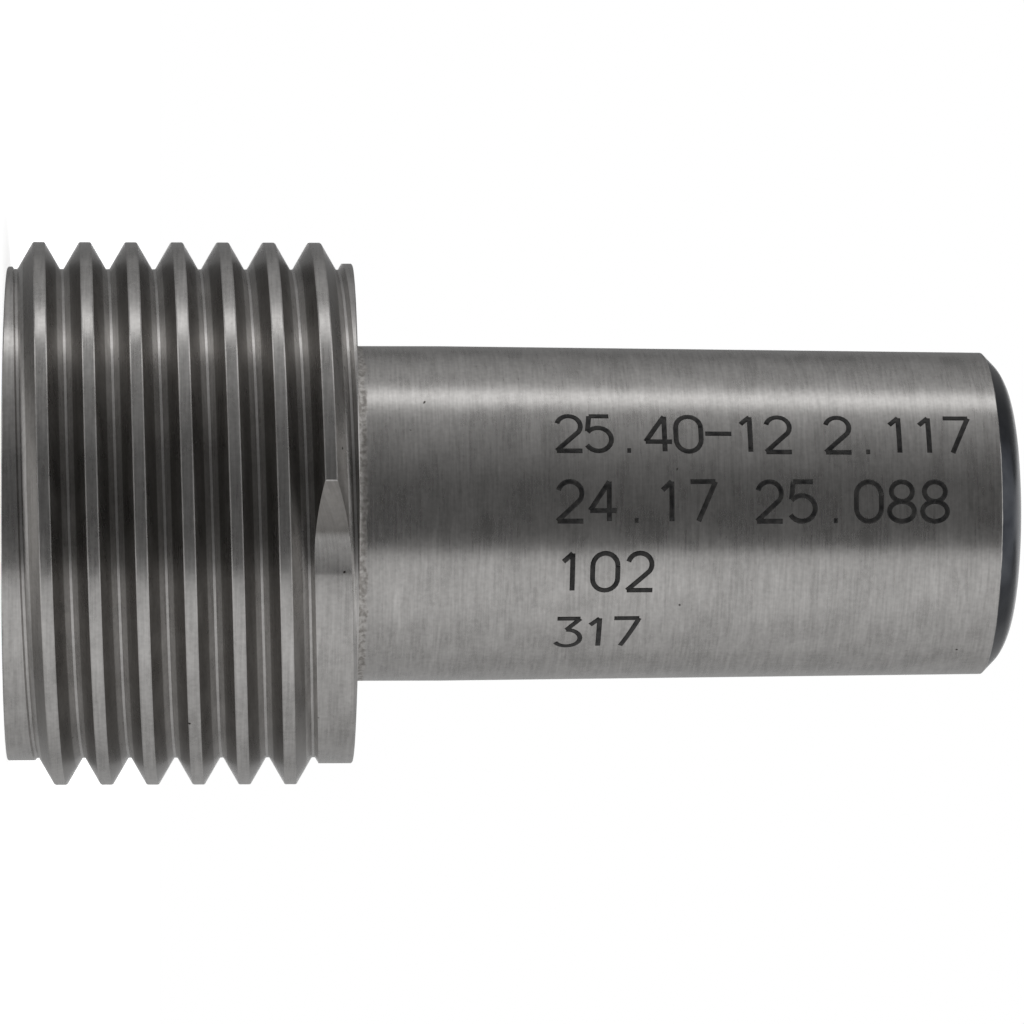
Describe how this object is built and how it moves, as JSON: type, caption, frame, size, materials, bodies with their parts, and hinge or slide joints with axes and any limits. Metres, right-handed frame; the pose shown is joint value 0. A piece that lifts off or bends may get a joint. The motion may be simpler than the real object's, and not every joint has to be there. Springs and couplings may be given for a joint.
{
  "type": "thread plug gauge",
  "caption": "Not-go thread plug gauge member: a hardened steel head with a ground external thread, and a plain tapered shank that fits a gauge handle.",
  "frame": {"origin": "centre of the head's front face, on the axis", "axes": "+Z runs along the axis from the head's front face to the shank's end, so the gauge stands on its head; the marking on the shank faces -Y"},
  "size_m": [0.025, 0.025, 0.0463],
  "materials": {
    "gauge_steel": "hardened tool steel, ground all round, with a darker unground chamfer at the shank's end"
  },
  "bodies": {
    "root": {"thread_plug": "gauge_steel"}
  },
  "joints": []
}
